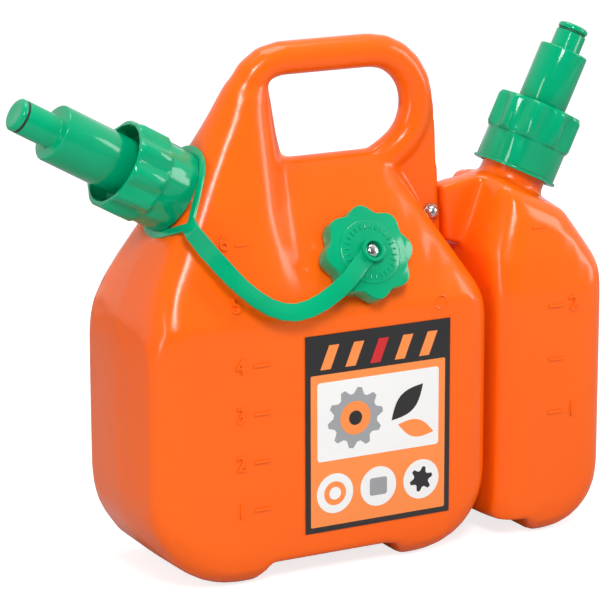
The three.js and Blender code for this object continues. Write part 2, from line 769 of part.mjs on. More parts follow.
// Cap with deep flutes, a raised middle and the thread bore underneath
const capFoot = capStandOff;
const capInside = capStubHeight + gasketThickness + 2 * seatGap;
const capFace = capInside + capTop;

function makeCap() {
  const body = solid(plateXY(lobedShape(capRadius, capFluteDepth, capLobes, 8), capFoot, capFace));
  const plateau = solid(revolve([
    [0, capFace - 1], [capPlateauRadius, capFace - 1], [capPlateauRadius, capFace + capPlateauHeight - 0.4],
    [capPlateauRadius - 0.8, capFace + capPlateauHeight], [0, capFace + capPlateauHeight],
  ]));
  const bore = solid(disc(neckRadius + threadClearance, capFoot - 1, capInside));
  const hole = solid(disc(rivetRadius + boltClearance, 0, capFace + 5, smallSegments));
  return cut(join(body, plateau), bore, hole);
}

function makeCapGasket() {
  return solid(ring(neckBore, neckRadius - 0.2, capStubHeight + seatGap, capStubHeight + seatGap + gasketThickness));
}

const eyeFoot = capFace + capPlateauHeight + seatGap;
const eyeFace = eyeFoot + tetherThickness;

function makeRivet() {
  return solid(revolve([
    [0, capInside - 1.7], [rivetRadius + 1.6, capInside - 1.7], [rivetRadius + 1.6, capInside - seatGap],
    [rivetRadius, capInside - seatGap], [rivetRadius, eyeFace + seatGap], [rivetHeadRadius, eyeFace + seatGap],
    [rivetHeadRadius - 0.3, eyeFace + seatGap + 0.9], [rivetHeadRadius - 1.8, eyeFace + seatGap + 2],
    [0, eyeFace + seatGap + rivetHeadHeight],
  ], smallSegments));
}

// Band through a list of stations, each with a middle, a face normal and a width.
function band(stations, thickness) {
  const vertices = [];
  const curve = new THREE.CatmullRomCurve3(stations.map((s) => s.at), false, 'centripetal');
  const steps = (stations.length - 1) * 2;
  for (let k = 0; k <= steps; k += 1) {
    const t = k / steps;
    const spot = t * (stations.length - 1);
    const i = Math.min(Math.floor(spot), stations.length - 2);
    const at = curve.getPoint(t);
    const along = curve.getTangent(t);
    const normal = stations[i].normal.clone().lerp(stations[i + 1].normal, spot - i);
    normal.addScaledVector(along, -normal.dot(along)).normalize();
    const across = new THREE.Vector3().crossVectors(along, normal);
    [[-1, -1], [1, -1], [1, 1], [-1, 1]].forEach(([a, n]) => {
      const corner = at.clone().addScaledVector(across, a * tetherWidth / 2);
      vertices.push(...corner.addScaledVector(normal, n * thickness / 2).toArray());
    });
  }
  const index = [];
  for (let k = 0; k < steps; k += 1) {
    for (let j = 0; j < 4; j += 1) {
      const a = k * 4 + j;
      const b = k * 4 + (j + 1) % 4;
      index.push(a, b, b + 4, a, b + 4, a + 4);
    }
  }
  const last = steps * 4;
  index.push(0, 2, 1, 0, 3, 2, last, last + 1, last + 2, last, last + 2, last + 3);
  const geometry = new THREE.BufferGeometry();
  geometry.setAttribute('position', new THREE.BufferAttribute(new Float32Array(vertices), 3));
  geometry.setIndex(index);
  return solid(geometry);
}

function makeTether() {
  const loop = loopShape(0);
  loop.holes.push(new THREE.Path(dropOutline(tetherLoopRadius, tetherForkReach)));
  const loopMiddle = seatGap + tetherThickness / 2;
  const loopSolid = solid(moved(plateXY(loop, seatGap, seatGap + tetherThickness), loopPlace));
  const start = (reach) => new THREE.Vector3(reach, 0, loopMiddle).applyMatrix4(loopPlace);
  const overCap = (down, right, lift) => new THREE.Vector3(down, right, (eyeFoot + eyeFace) / 2 + lift)
    .applyMatrix4(capPlace);
  const hungFrom = start(tetherForkReach + tetherWidth);
  const hungTo = overCap(18, -23, 1.6);
  const hanging = [0.16, 0.28, 0.44, 0.61, 0.81].map((share) => {
    const swing = Math.sin(Math.PI * share);
    const at = hungFrom.clone().lerp(hungTo, share);
    at.y -= tetherBulge * swing;
    at.z -= tetherSag * swing;
    return { at, normal: fuelAxis.clone().lerp(capAxis, Math.min(1, share * 3.5)).normalize() };
  });
  const bandSolid = band([
    { at: start(tetherForkReach + 1), normal: fuelAxis },
    { at: hungFrom, normal: fuelAxis },
    ...hanging,
    { at: hungTo, normal: capAxis },
    { at: overCap(9, -12, 0.5), normal: capAxis },
    { at: overCap(3, -4, 0), normal: capAxis },
  ], tetherThickness);
  const eye = solid(moved(disc(tetherEyeRadius, eyeFoot, eyeFace), capPlace));
  const collar = solid(moved(ring(rivetHeadRadius + 0.8, tetherEyeRadius, eyeFace - 1, eyeFace + tetherCollarHeight), capPlace));
  const hole = solid(moved(disc(rivetRadius + boltClearance, eyeFoot - 8, eyeFace + 8, smallSegments), capPlace));
  const headRoom = solid(moved(disc(rivetHeadRadius + 0.8, eyeFace, eyeFace + 12), capPlace));
  return cut(join(loopSolid, bandSolid, eye, collar), hole, headRoom);
}

// Oil side tether: only its ring stays on the neck, under the nut.
function makeOilTetherRing() {
  const ringOuter = nutSkirtRadius + 1.6;
  return solid(moved(ring(neckRadius + 1, ringOuter, oilNutLift - 2.2, oilNutLift - seatGap), oilPlace));
}

const labelFront = -halfDepth - seatGap - labelThickness;
const label = solid(plateXZ([
  [labelLeft, labelFoot], [labelRight, labelFoot], [labelRight, labelTop], [labelLeft, labelTop],
], labelFront, labelFront + labelThickness));

// Joint hardware, made pointing along -Y from the front face of the web
function alongY(geometry, faceY) {
  return solid(geometry.rotateX(Math.PI / 2).translate(boltX, faceY, boltHeight));
}

const webFront = -webHalfThickness;
const lugFar = webHalfThickness + seatGap + lugThickness;
const stackBack = lugFar + seatGap + washerThickness + seatGap;
const frontWasher = alongY(ring(boltRadius + 0.3, washerRadius, seatGap, seatGap + washerThickness, smallSegments), webFront);
const headFoot = 2 * seatGap + washerThickness;
const bolt = alongY(revolve([
  [0, -(stackBack - webFront + nutThickness + 1.5)], [boltRadius, -(stackBack - webFront + nutThickness + 1.5)],
  [boltRadius, headFoot], [boltHeadRadius, headFoot], [boltHeadRadius - 0.4, headFoot + boltHeadHeight * 0.4],
  [boltHeadRadius * 0.62, headFoot + boltHeadHeight * 0.85], [0, headFoot + boltHeadHeight],
], smallSegments), webFront);
const rearWasher = alongY(ring(boltRadius + 0.3, washerRadius, -seatGap - washerThickness, -seatGap, smallSegments), lugFar);
const hex = circleShape(nutAcrossFlats / Math.sqrt(3), 6);
hex.holes.push(new THREE.Path(circleShape(boltRadius + 0.3, 18).getPoints().reverse()));
const joiningNut = alongY(plateXY(hex, -nutThickness, 0), stackBack);

const object = new THREE.Group();

function piece(name, body, color, roughness, metalness = 0) {
  const material = new THREE.MeshStandardMaterial({ color, roughness, metalness });
  const mesh = new THREE.Mesh(geometryOf(body), material);
  mesh.name = name;
  return mesh;
}

object.add(piece('large_can', makeLargeCan(), orange, 0.38));
object.add(piece('small_can', makeSmallCan(), orange, 0.38));
object.add(piece('label', label, black, 0.45));
object.add(piece('joining_bolt', bolt, steel, 0.28, 1));
object.add(piece('joining_nut', joiningNut, steel, 0.35, 1));
object.add(piece('front_washer', frontWasher, steel, 0.3, 1));
object.add(piece('rear_washer', rearWasher, steel, 0.3, 1));

// Each spout stands on its nut foot, above the seat of the neck.
function addSpout(name, spout, place, lift) {
  const holder = new THREE.Group();
  holder.applyMatrix4(place.clone().multiply(new THREE.Matrix4().makeTranslation(0, 0, lift)));
  holder.add(piece(`${name}_spout_nut`, makeNut(), green, 0.25));
  holder.add(piece(`${name}_spout_base`, makeSpoutBase(spout), green, 0.3));
  holder.add(piece(`${name}_valve_stem`, makeValveStem(spout), green, 0.3));
  holder.add(piece(`${name}_sleeve`, makeSleeve(spout), green, 0.25));
  holder.add(piece(`${name}_tip_seal`, makeTipSeal(spout), black, 0.6));
  holder.add(piece(`${name}_return_spring`, makeSpring(spout), steel, 0.3, 1));
  holder.add(piece(`${name}_neck_gasket`, makeGasket(), black, 0.7));
  holder.add(piece(`${name}_air_tube`, makeAirTube(), green, 0.4));
  object.add(holder);
}

addSpout('fuel', fuelSpout, fuelPlace, fuelNutLift);
addSpout('oil', oilSpout, oilPlace, oilNutLift);

const capHolder = new THREE.Group();
capHolder.applyMatrix4(capPlace);
capHolder.add(piece('cap', makeCap(), green, 0.3));
capHolder.add(piece('cap_gasket', makeCapGasket(), black, 0.7));
capHolder.add(piece('cap_rivet', makeRivet(), steel, 0.22, 1));
object.add(capHolder);
object.add(piece('cap_tether', makeTether(), green, 0.3));
object.add(piece('oil_tether_ring', makeOilTetherRing(), green, 0.3));

// The origin is the middle of the foot of the whole object's box.
const extent = new THREE.Box3().setFromObject(object, true);
const middle = extent.getCenter(new THREE.Vector3());
object.position.set(-middle.x, -middle.y, -extent.min.z);

export default object;
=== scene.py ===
# %% [markdown]
# A combination fuel can: a large orange can for fuel and a narrow one for chain oil, bolted side
# by side. The solids of the part come in as a fixed frame, in metres, with +Z up. This lesson
# gives them smooth moulded skins, fine edges, printed and moulded marks, and finishes.

# %% Load the frame
import bpy
import bmesh
import json
import math
from mathutils import Matrix, Vector
from mathutils.bvhtree import BVHTree

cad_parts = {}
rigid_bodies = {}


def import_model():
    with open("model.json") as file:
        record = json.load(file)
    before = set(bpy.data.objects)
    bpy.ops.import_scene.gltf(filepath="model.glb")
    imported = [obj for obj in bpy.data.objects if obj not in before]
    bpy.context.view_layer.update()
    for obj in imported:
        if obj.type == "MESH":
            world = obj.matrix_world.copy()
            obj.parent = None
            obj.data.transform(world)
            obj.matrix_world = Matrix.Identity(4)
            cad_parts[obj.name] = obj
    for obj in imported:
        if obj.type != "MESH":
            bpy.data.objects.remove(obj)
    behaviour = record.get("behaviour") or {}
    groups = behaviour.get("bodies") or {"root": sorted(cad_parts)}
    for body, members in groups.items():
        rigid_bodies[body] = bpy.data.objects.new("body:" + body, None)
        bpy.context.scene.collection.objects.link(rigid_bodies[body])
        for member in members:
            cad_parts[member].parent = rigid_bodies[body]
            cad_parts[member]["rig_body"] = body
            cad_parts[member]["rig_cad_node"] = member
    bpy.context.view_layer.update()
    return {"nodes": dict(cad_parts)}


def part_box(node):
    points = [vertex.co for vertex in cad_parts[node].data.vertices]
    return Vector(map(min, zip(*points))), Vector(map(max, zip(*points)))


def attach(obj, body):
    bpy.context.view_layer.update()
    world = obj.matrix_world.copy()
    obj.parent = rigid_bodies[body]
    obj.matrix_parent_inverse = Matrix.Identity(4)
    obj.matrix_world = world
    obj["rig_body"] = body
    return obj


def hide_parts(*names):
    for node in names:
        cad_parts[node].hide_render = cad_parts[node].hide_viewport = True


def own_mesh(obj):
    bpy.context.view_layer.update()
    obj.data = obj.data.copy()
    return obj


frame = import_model()
nodes = frame["nodes"]
MM = 0.001
PARTING_Y = 7.668 * MM
X_SHIFT = -17.741 * MM
FRONT_DEPTH = 60.2 * MM
GRIP_LENGTH = 26.4 * MM
FUEL_ANGLE = math.radians(29.3)
OIL_ANGLE = math.radians(63.9)
bpy.ops.object.select_all(action="DESELECT")
bpy.context.scene.view_settings.view_transform = "Standard"

# %% [markdown]
# The photograph was taken from the front left, a little above the can. A long lens far away keeps
# the upright edges parallel. The camera's three directions are written out, so it stands exactly.

# %% Camera
camera_place = Vector((-0.956121, -1.767712, 0.68148))
camera_right = Vector((0.88181364, -0.47158579, -0.00339945))
camera_up = Vector((0.11695057, 0.21169017, 0.9703143))
camera_back = camera_right.cross(camera_up).normalized()
bpy.ops.object.camera_add()
camera = bpy.context.object
turned = Matrix((camera_right, camera_up, camera_back)).transposed()
camera.matrix_world = Matrix.Translation(camera_place) @ turned.to_4x4()
camera.data.lens = 180.02
camera.data.sensor_width = 36
camera.data.clip_end = 20
bpy.context.scene.camera = camera
print("camera", tuple(round(c, 3) for c in camera.location))

# %% [markdown]
# A studio shot has a pale floor and soft light from large panels. The floor and the world look
# white to the camera, while the light they cast on the can stays modest. Reflections see the
# white too, but the room behind the camera is dim, which keeps the plastic's colour deep.

# %% Floor and world
def node_of(tree, kind, **settings):
    made = tree.nodes.new(kind)
    for key, value in settings.items():
        setattr(made, key, value)
    return made


def white_to_camera(tree, lit_output, output):
    path = node_of(tree, "ShaderNodeLightPath")
    seen = node_of(tree, "ShaderNodeMath", operation="MAXIMUM")
    through = node_of(tree, "ShaderNodeMath", operation="MAXIMUM")
    tree.links.new(path.outputs["Is Camera Ray"], seen.inputs[0])
    tree.links.new(path.outputs["Is Glossy Ray"], seen.inputs[1])
    tree.links.new(seen.outputs[0], through.inputs[0])
    tree.links.new(path.outputs["Is Transmission Ray"], through.inputs[1])
    mix = node_of(tree, "ShaderNodeMixShader")
    tree.links.new(through.outputs[0], mix.inputs[0])
    tree.links.new(lit_output, mix.inputs[1])
    tree.links.new(mix.outputs[0], output)
    return mix


world = bpy.data.worlds.new("Studio")
bpy.context.scene.world = world
world.use_nodes = True
sky = world.node_tree
sky.nodes["Background"].inputs["Color"].default_value = (0.95, 0.97, 1, 1)
sky.nodes["Background"].inputs["Strength"].default_value = 0.34
plain_sky = node_of(sky, "ShaderNodeBackground")
plain_sky.inputs["Strength"].default_value = 1
white_sky = white_to_camera(sky, sky.nodes["Background"].outputs[0], sky.nodes["World Output"].inputs[0])
plain_sky.inputs["Color"].default_value = (1, 1, 1, 1)
sky_place = node_of(sky, "ShaderNodeTexCoord")
toward_lens = node_of(sky, "ShaderNodeVectorMath", operation="DOT_PRODUCT")
toward_lens.inputs[1].default_value = (-0.46, -0.86, 0.2)
sky.links.new(sky_place.outputs["Generated"], toward_lens.inputs[0])
dim = node_of(sky, "ShaderNodeMapRange")
dim.inputs["From Min"].default_value = -0.1
dim.inputs["From Max"].default_value = 0.75
dim.inputs["To Min"].default_value = 1
dim.inputs["To Max"].default_value = 0.12
sky.links.new(toward_lens.outputs["Value"], dim.inputs["Value"])
sky_gloss = node_of(sky, "ShaderNodeLightPath")
strength = node_of(sky, "ShaderNodeMix")
sky.links.new(sky_gloss.outputs["Is Glossy Ray"], strength.inputs["Factor"])
strength.inputs["A"].default_value = 1
sky.links.new(dim.outputs[0], strength.inputs["B"])
sky.links.new(strength.outputs["Result"], plain_sky.inputs["Strength"])
sky.links.new(plain_sky.outputs[0], white_sky.inputs[2])

bpy.ops.mesh.primitive_plane_add(size=6, location=(0, 0, -0.0005))
floor = bpy.context.object
floor.name = "floor"
floor_material = bpy.data.materials.new("pale floor")
floor_material.use_nodes = True
ground = floor_material.node_tree
ground.nodes["Principled BSDF"].inputs["Base Color"].default_value = (0.5, 0.5, 0.5, 1)
ground.nodes["Principled BSDF"].inputs["Roughness"].default_value = 0.8
ground.nodes["Principled BSDF"].inputs["Specular IOR Level"].default_value = 0.1
ground.nodes["Principled BSDF"].inputs["Emission Color"].default_value = (1, 1, 1, 1)
lift_path = node_of(ground, "ShaderNodeLightPath")
lift = node_of(ground, "ShaderNodeMath", operation="MULTIPLY")
lift.inputs[1].default_value = 0.78
ground.links.new(lift_path.outputs["Is Camera Ray"], lift.inputs[0])
ground.links.new(lift.outputs[0], ground.nodes["Principled BSDF"].inputs["Emission Strength"])
floor.data.materials.append(floor_material)
print("floor and world ready")

# %% Lights
def panel(name, place, aim, size, watts):
    bpy.ops.object.light_add(type="AREA", location=place)
    lamp = bpy.context.object
    lamp.name = name
    lamp.data.shape = "RECTANGLE"
    lamp.data.size, lamp.data.size_y = size
    lamp.data.energy = watts
    lamp.rotation_euler = (Vector(aim) - Vector(place)).to_track_quat("-Z", "Y").to_euler()
    return lamp


middle = (0, 0, 0.17)
panel("key panel", (-0.55, -1.5, 1.5), middle, (0.42, 0.55), 23)
panel("left strip", (-1.7, -0.75, 0.6), middle, (0.22, 1.2), 11)
panel("right panel", (1.5, -0.9, 0.7), middle, (0.4, 1.0), 10)
panel("top panel", (0.1, 0.1, 1.8), middle, (1.0, 0.8), 14)

# %% [markdown]
# Moulded plastic is never one flat colour. A shared group gives a slow cloudiness in the colour,
# a fine skin for the bump, and faint scuffs that change the gloss. Each finish sets its own
# amounts. Where Seam is above nothing, a fine raised line follows the mould's parting plane.

# %% Shared group for moulded skins
skin = bpy.data.node_groups.new("moulded skin", "ShaderNodeTree")
for label, kind, value in (
    ("Colour", "NodeSocketColor", (0.8, 0.8, 0.8, 1)),
    ("Shade Colour", "NodeSocketColor", (0.5, 0.5, 0.5, 1)),
    ("Cloud Scale", "NodeSocketFloat", 9),
    ("Grain Scale", "NodeSocketFloat", 900),
    ("Gloss Low", "NodeSocketFloat", 0.25),
    ("Gloss High", "NodeSocketFloat", 0.45),
    ("Scuff", "NodeSocketFloat", 0.2),
    ("Seam", "NodeSocketFloat", 0.0),
):
    socket = skin.interface.new_socket(name=label, in_out="INPUT", socket_type=kind)
    socket.default_value = value
for label, kind in (
    ("Colour", "NodeSocketColor"), ("Roughness", "NodeSocketFloat"), ("Height", "NodeSocketFloat"),
):
    skin.interface.new_socket(name=label, in_out="OUTPUT", socket_type=kind)
way_in = node_of(skin, "NodeGroupInput")
way_out = node_of(skin, "NodeGroupOutput")
place = node_of(skin, "ShaderNodeTexCoord")
cloud = node_of(skin, "ShaderNodeTexNoise")
cloud.inputs["Detail"].default_value = 4
grain = node_of(skin, "ShaderNodeTexNoise")
grain.inputs["Detail"].default_value = 3
scratch_map = node_of(skin, "ShaderNodeMapping")
scratch_map.inputs["Scale"].default_value = (1, 1, 3)
scratch_map.inputs["Rotation"].default_value = (0.3, 0.7, 0.2)
scratch = node_of(skin, "ShaderNodeTexNoise")
scratch.inputs["Scale"].default_value = 70
scratch.inputs["Detail"].default_value = 6
for texture in (cloud, grain):
    skin.links.new(place.outputs["Object"], texture.inputs["Vector"])
skin.links.new(place.outputs["Object"], scratch_map.inputs["Vector"])
skin.links.new(scratch_map.outputs[0], scratch.inputs["Vector"])
skin.links.new(way_in.outputs["Cloud Scale"], cloud.inputs["Scale"])
skin.links.new(way_in.outputs["Grain Scale"], grain.inputs["Scale"])
tint = node_of(skin, "ShaderNodeMix", data_type="RGBA")
cloud_range = node_of(skin, "ShaderNodeMapRange")
cloud_range.inputs["From Min"].default_value = 0.3
cloud_range.inputs["From Max"].default_value = 0.75
skin.links.new(cloud.outputs["Fac"], cloud_range.inputs["Value"])
skin.links.new(cloud_range.outputs[0], tint.inputs["Factor"])
skin.links.new(way_in.outputs["Colour"], tint.inputs["A"])
skin.links.new(way_in.outputs["Shade Colour"], tint.inputs["B"])
skin.links.new(tint.outputs["Result"], way_out.inputs["Colour"])
scuff_range = node_of(skin, "ShaderNodeMapRange")
scuff_range.inputs["From Min"].default_value = 0.58
scuff_range.inputs["From Max"].default_value = 0.72
skin.links.new(scratch.outputs["Fac"], scuff_range.inputs["Value"])
scuffed = node_of(skin, "ShaderNodeMath", operation="MULTIPLY")
skin.links.new(scuff_range.outputs[0], scuffed.inputs[0])
skin.links.new(way_in.outputs["Scuff"], scuffed.inputs[1])
gloss = node_of(skin, "ShaderNodeMapRange")
skin.links.new(cloud.outputs["Fac"], gloss.inputs["Value"])
skin.links.new(way_in.outputs["Gloss Low"], gloss.inputs["To Min"])
skin.links.new(way_in.outputs["Gloss High"], gloss.inputs["To Max"])
rough = node_of(skin, "ShaderNodeMath", operation="ADD")
skin.links.new(gloss.outputs[0], rough.inputs[0])
skin.links.new(scuffed.outputs[0], rough.inputs[1])
skin.links.new(rough.outputs[0], way_out.inputs["Roughness"])
split = node_of(skin, "ShaderNodeSeparateXYZ")
skin.links.new(place.outputs["Object"], split.inputs[0])
off_seam = node_of(skin, "ShaderNodeMath", operation="SUBTRACT")
off_seam.inputs[1].default_value = PARTING_Y
skin.links.new(split.outputs["Y"], off_seam.inputs[0])
far_from_seam = node_of(skin, "ShaderNodeMath", operation="ABSOLUTE")
skin.links.new(off_seam.outputs[0], far_from_seam.inputs[0])
seam_line = node_of(skin, "ShaderNodeMapRange")
seam_line.inputs["From Min"].default_value = 0.0003
seam_line.inputs["From Max"].default_value = 0.0008
seam_line.inputs["To Min"].default_value = 1
seam_line.inputs["To Max"].default_value = 0
skin.links.new(far_from_seam.outputs[0], seam_line.inputs["Value"])
seam_height = node_of(skin, "ShaderNodeMath", operation="MULTIPLY_ADD")
skin.links.new(seam_line.outputs[0], seam_height.inputs[0])
skin.links.new(way_in.outputs["Seam"], seam_height.inputs[1])
skin.links.new(grain.outputs["Fac"], seam_height.inputs[2])
skin.links.new(seam_height.outputs[0], way_out.inputs["Height"])
print("group sockets", len(skin.interface.items_tree))


# %% Finishes
def finish_of(name, colour, shade, low, high, scuff=0.15, grain_scale=900, cloud_scale=9,
              bump=0.08, distance=0.0003, metal=0, specular=0.5, seam=0.0):
    made = bpy.data.materials.new(name)
    made.use_nodes = True
    tree = made.node_tree
    shader = tree.nodes["Principled BSDF"]
    shader.inputs["Metallic"].default_value = metal
    shader.inputs["Specular IOR Level"].default_value = specular
    group = node_of(tree, "ShaderNodeGroup", node_tree=skin)
    for key, value in (("Colour", colour), ("Shade Colour", shade)):
        group.inputs[key].default_value = (*value, 1)
    for key, value in (("Cloud Scale", cloud_scale), ("Grain Scale", grain_scale),
                       ("Gloss Low", low), ("Gloss High", high), ("Scuff", scuff), ("Seam", seam)):
        group.inputs[key].default_value = value
    raised = node_of(tree, "ShaderNodeBump")
    raised.inputs["Strength"].default_value = bump
    raised.inputs["Distance"].default_value = distance
    tree.links.new(group.outputs["Colour"], shader.inputs["Base Color"])
    tree.links.new(group.outputs["Roughness"], shader.inputs["Roughness"])
    tree.links.new(group.outputs["Height"], raised.inputs["Height"])
    tree.links.new(raised.outputs[0], shader.inputs["Normal"])
    return made


orange = finish_of("orange blow moulding", (0.96, 0.135, 0.004), (0.92, 0.118, 0.003),
                   0.17, 0.24, 0.05, 700, 7, 0.1, 0.0004, 0, 0.32, 8)
green = finish_of("green injection moulding", (0.0, 0.37, 0.165), (0.0, 0.31, 0.135),
                  0.07, 0.13, 0.04, 1200, 20, 0.03, 0.0003, 0, 0.3)
rubber = finish_of("black seal", (0.012, 0.012, 0.013), (0.02, 0.02, 0.02), 0.5, 0.7, 0.1, 1500)
tip_rubber = finish_of("dark green tip seal", (0.0, 0.17, 0.075), (0.0, 0.14, 0.06), 0.4, 0.55, 0.1, 1500)
zinc = finish_of("zinc plate", (0.62, 0.63, 0.66), (0.5, 0.51, 0.53), 0.18, 0.34, 0.1, 1500, 60,
                 0.05, 0.0002, 1)
polished = finish_of("polished rivet", (0.78, 0.78, 0.8), (0.66, 0.66, 0.68), 0.1, 0.2, 0.1,
                     1500, 80, 0.03, 0.0002, 1)
print("finishes", [m.name for m in (orange, green, rubber, zinc, polished)])


# %% [markdown]
# The cans are blown in a mould, so their outside is one flowing skin, also where the handle runs
# into the body. A copy of the solid's outside is remeshed into small even squares and relaxed,
# which melts the joins as the mould does. First the inside faces go: those from which hardly any
# straight line reaches the open air.

# %% Helpers for copies of solids
def merged_copy(node, name):
    bpy.ops.object.select_all(action="DESELECT")
    copy = nodes[node].copy()
    copy.data = nodes[node].data.copy()
    copy.name = name
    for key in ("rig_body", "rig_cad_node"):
        if key in copy:
            del copy[key]
    copy.parent = None
    bpy.context.scene.collection.objects.link(copy)
    copy.select_set(True)
    bpy.context.view_layer.objects.active = copy
    bpy.ops.object.mode_set(mode="EDIT")
    bpy.ops.mesh.select_all(action="SELECT")
    bpy.ops.mesh.remove_doubles(threshold=0.00002)
    bpy.ops.object.mode_set(mode="OBJECT")
    copy.data.materials.clear()
    return copy


def open_air_lines(tree, centre, normal, directions):
    start = centre + normal * 0.0003
    free = 0
    for direction in directions:
        if direction.dot(normal) > 0.05 and tree.ray_cast(start, direction)[0] is None:
            free += 1
    return free


golden = math.pi * (3 - math.sqrt(5))
sphere_lines = []
for step in range(60):
    height = 1 - 2 * (step + 0.5) / 60
    across = math.sqrt(1 - height * height)
    sphere_lines.append(Vector((across * math.cos(golden * step), across * math.sin(golden * step), height)))


def outside_only(piece, enough):
    shape = bmesh.new()
    shape.from_mesh(piece.data)
    tree = BVHTree.FromBMesh(shape)
    inner = [f for f in shape.faces
             if open_air_lines(tree, f.calc_center_median(), f.normal, sphere_lines) < enough]
    bmesh.ops.delete(shape, geom=inner, context="FACES")
    islands = []
    seen = set()
    for first in shape.verts:
        if first in seen:
            continue
        island, queue = [], [first]
        seen.add(first)
        while queue:
            vert = queue.pop()
            island.append(vert)
            for edge in vert.link_edges:
                other = edge.other_vert(vert)
                if other not in seen:
                    seen.add(other)
                    queue.append(other)
        islands.append(island)
    islands.sort(key=len)
    for island in islands[:-1]:
        bmesh.ops.delete(shape, geom=island, context="VERTS")
    bmesh.ops.holes_fill(shape, edges=shape.edges, sides=0)
    bmesh.ops.triangulate(shape, faces=shape.faces)
    shape.to_mesh(piece.data)
    shape.free()
    return len(inner), len(islands)


def apply_all(piece):
    bpy.ops.object.select_all(action="DESELECT")
    piece.select_set(True)
    bpy.context.view_layer.objects.active = piece
    for modifier in list(piece.modifiers):
        bpy.ops.object.modifier_apply(modifier=modifier.name)


# %% Can skins
def can_skin(node, voxel):
    piece = merged_copy(node, node + "_skin")
    removed = outside_only(piece, 3)
    squares = piece.modifiers.new("even squares", "REMESH")
    squares.mode = "VOXEL"
    squares.voxel_size = voxel
    relaxed = piece.modifiers.new("relaxed", "SMOOTH")
    relaxed.factor = 0.5
    relaxed.iterations = 9
    apply_all(piece)
    bpy.ops.object.shade_smooth()
    piece.data.materials.append(orange)
    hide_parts(node)
    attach(piece, "cans")
    print(piece.name, "inner faces and islands", removed, "faces", len(piece.data.polygons))
    return piece


large_skin = can_skin("large_can", 0.0023)
small_skin = can_skin("small_can", 0.0021)


# %% [markdown]
# Injection moulded pieces have small rounded edges that catch the light. A copy of each solid is
# merged and bevelled where two faces meet at more than thirty degrees, and its shading is
# smooth over the curved faces.

# %% Moulded and metal pieces
def edged_copy(node, body, material, width, angle=32, reshape=None):
    piece = merged_copy(node, node + "_finished")
    if reshape:
        reshape(piece)
    edge = piece.modifiers.new("fine edge", "BEVEL")
    edge.width = width
    edge.segments = 2
    edge.limit_method = "ANGLE"
    edge.angle_limit = math.radians(angle)
    edge.use_clamp_overlap = True
    apply_all(piece)
    bpy.ops.object.shade_smooth_by_angle(angle=math.radians(38))
    piece.data.materials.append(material)
    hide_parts(node)
    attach(piece, body)
    return piece


def scalloped(seat, axis, low, high, skirt=29.2 * MM, crest=32.3 * MM):
    """The grip's lobes fade at both ends, and the hollows between them get a little deeper."""
    def reshape(piece):
        shape = bmesh.new()
        shape.from_mesh(piece.data)
        for cut in (low + 3 * MM, high - 3 * MM):
            bmesh.ops.bisect_plane(shape, geom=shape.verts[:] + shape.edges[:] + shape.faces[:],
                                   plane_co=seat + axis * cut, plane_no=axis)
        for vert in shape.verts:
            along = (vert.co - seat).dot(axis)
            outward = vert.co - seat - axis * along
            reach = outward.length
            if reach < skirt - 0.6 * MM or not low - 0.1 * MM < along < high + 0.1 * MM:
                continue
            at_end = min(along - low, high - along) < 0.5 * MM
            wanted = reach - (reach - skirt) * 0.6 if at_end else crest - (crest - reach) * 1.28
            vert.co = seat + axis * along + outward * (wanted / reach)
        shape.to_mesh(piece.data)
        shape.free()
    return reshape


spout_lines = {
    "fuel": (Vector((-0.1032525, PARTING_Y, 0.26535)),
             Vector((-math.cos(FUEL_ANGLE), 0, math.sin(FUEL_ANGLE))), 24.2 * MM),
    "oil": (Vector((0.160259, PARTING_Y, 0.2458)),
            Vector((math.cos(OIL_ANGLE), 0, math.sin(OIL_ANGLE))), 32.8 * MM),
}
tip_seals = {"fuel": rubber, "oil": tip_rubber}
for side in ("fuel", "oil"):
    seat, axis, grip_low = spout_lines[side]
    edged_copy(side + "_spout_nut", side + "_nut", green, 0.0008, 32,
               scalloped(seat, axis, grip_low, grip_low + GRIP_LENGTH))
    edged_copy(side + "_sleeve", side + "_tube", green, 0.0005)
    edged_copy(side + "_spout_base", "cans", green, 0.0003)
    edged_copy(side + "_valve_stem", "cans", green, 0.0002, 50)
    edged_copy(side + "_tip_seal", side + "_tube", tip_seals[side], 0.0002)
edged_copy("cap", "screw_cap", green, 0.0007)
edged_copy("cap_tether", "cans", green, 0.0003, 45)
edged_copy("oil_tether_ring", "cans", green, 0.0003)
edged_copy("cap_rivet", "screw_cap", polished, 0.0002, 50)
edged_copy("joining_bolt", "cans", zinc, 0.0002, 50)
for node in ("joining_nut", "front_washer", "rear_washer"):
    edged_copy(node, "cans", zinc, 0.0002)

# %% Hidden solids keep their shape and get their finish
for node, material in (
    ("cap_gasket", rubber), ("fuel_neck_gasket", rubber), ("oil_neck_gasket", rubber),
    ("fuel_air_tube", green), ("oil_air_tube", green),
):
    nodes[node].data.materials.clear()
    nodes[node].data.materials.append(material)
print("hidden solids dressed")

# %% [markdown]
# Inside each sleeve a coil spring pushes it back out. When the sleeve is pushed into the nut the
# coil shortens by the same travel. Each coil is copied smooth, with its own mesh, in the zinc finish.

# %% Return springs
for side in ("fuel", "oil"):
    coil = merged_copy(side + "_return_spring", side + "_spring_coil")
    bpy.ops.object.shade_smooth()
    coil.data.materials.append(zinc)
    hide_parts(side + "_return_spring")
    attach(coil, "cans")
    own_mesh(coil)

# %% [markdown]
# The label is a film with a black edge, a black band with slanted bars, a white panel with a toothed
# wheel and two leaves, and three white discs below. It is built of very thin plates, one step above
# the other, so every colour has a crisp edge.

